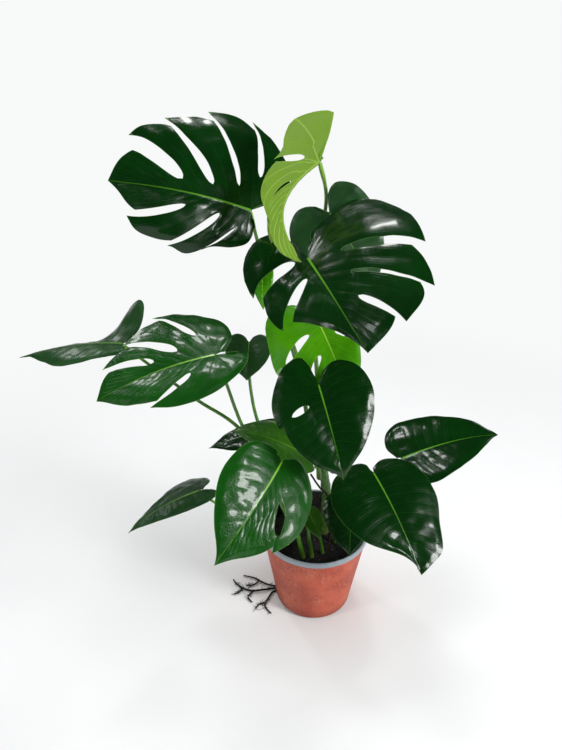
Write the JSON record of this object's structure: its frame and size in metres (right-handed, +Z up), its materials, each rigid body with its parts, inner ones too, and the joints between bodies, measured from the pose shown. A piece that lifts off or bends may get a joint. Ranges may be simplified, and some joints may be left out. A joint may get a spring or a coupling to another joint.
{
  "type": "potted monstera plant",
  "caption": "Potted climbing foliage plant with large split, heart-shaped leaves on long arching stalks, a short stem and roots, standing in a round tapered nursery pot of soil.",
  "frame": {"origin": "centre of the pot's flat underside, on the surface that the pot stands on", "axes": "+Z up along the pot's axis, +X to the right and +Y away from a viewer who faces the plant's front"},
  "size_m": [0.8214, 0.4646, 0.8632],
  "materials": {
    "pot": "matt scuffed terracotta-coloured plastic with a smoother grey rolled rim",
    "soil": "damp dark potting mix with pale specks",
    "stem": "satin green climbing stem",
    "root": "dry dark brown root",
    "petiole": "satin green leaf stalk",
    "leaf_dark": "glossy very dark green leathery blade",
    "leaf_mid": "glossy dark green leathery blade",
    "leaf_olive": "satin olive green blade",
    "leaf_lime": "glossy bright lime green young blade",
    "leaf_pale": "pale yellow-green unfolding blade",
    "leaf_back": "dull grey-green blade turned edge-on"
  },
  "bodies": {
    "root": {"pot": "pot", "soil": "soil", "stem": "stem", "aerial_root": "root", "drain_root_back": "root", "drain_root_middle": "root", "drain_root_front": "root", "petiole_upper_left": "petiole", "leaf_upper_left": "leaf_dark", "petiole_upper_right": "petiole", "leaf_upper_right": "leaf_dark", "petiole_mid_left": "petiole", "leaf_mid_left": "leaf_mid", "petiole_lime_young": "petiole", "leaf_lime_young": "leaf_lime", "petiole_centre_round": "petiole", "leaf_centre_round": "leaf_dark", "petiole_front_left": "petiole", "leaf_front_left": "leaf_mid", "petiole_front_right": "petiole", "leaf_front_right": "leaf_dark", "petiole_right_low": "petiole", "leaf_right_low": "leaf_dark", "petiole_far_left": "petiole", "leaf_far_left": "leaf_back", "petiole_back_centre": "petiole", "leaf_back_centre": "leaf_back", "petiole_olive_centre": "petiole", "leaf_olive_centre": "leaf_olive", "petiole_back_left": "petiole", "leaf_back_left": "leaf_dark", "petiole_low_left": "petiole", "leaf_low_left": "leaf_back", "petiole_top_young": "petiole", "leaf_top_young": "leaf_pale", "petiole_young_hanging": "petiole", "leaf_young_hanging": "leaf_lime", "petiole_upper_back": "petiole", "leaf_upper_back": "leaf_back", "petiole_inner_right": "petiole", "leaf_inner_right": "leaf_dark", "petiole_inner_small": "petiole", "leaf_inner_small": "leaf_olive"}
  },
  "joints": []
}
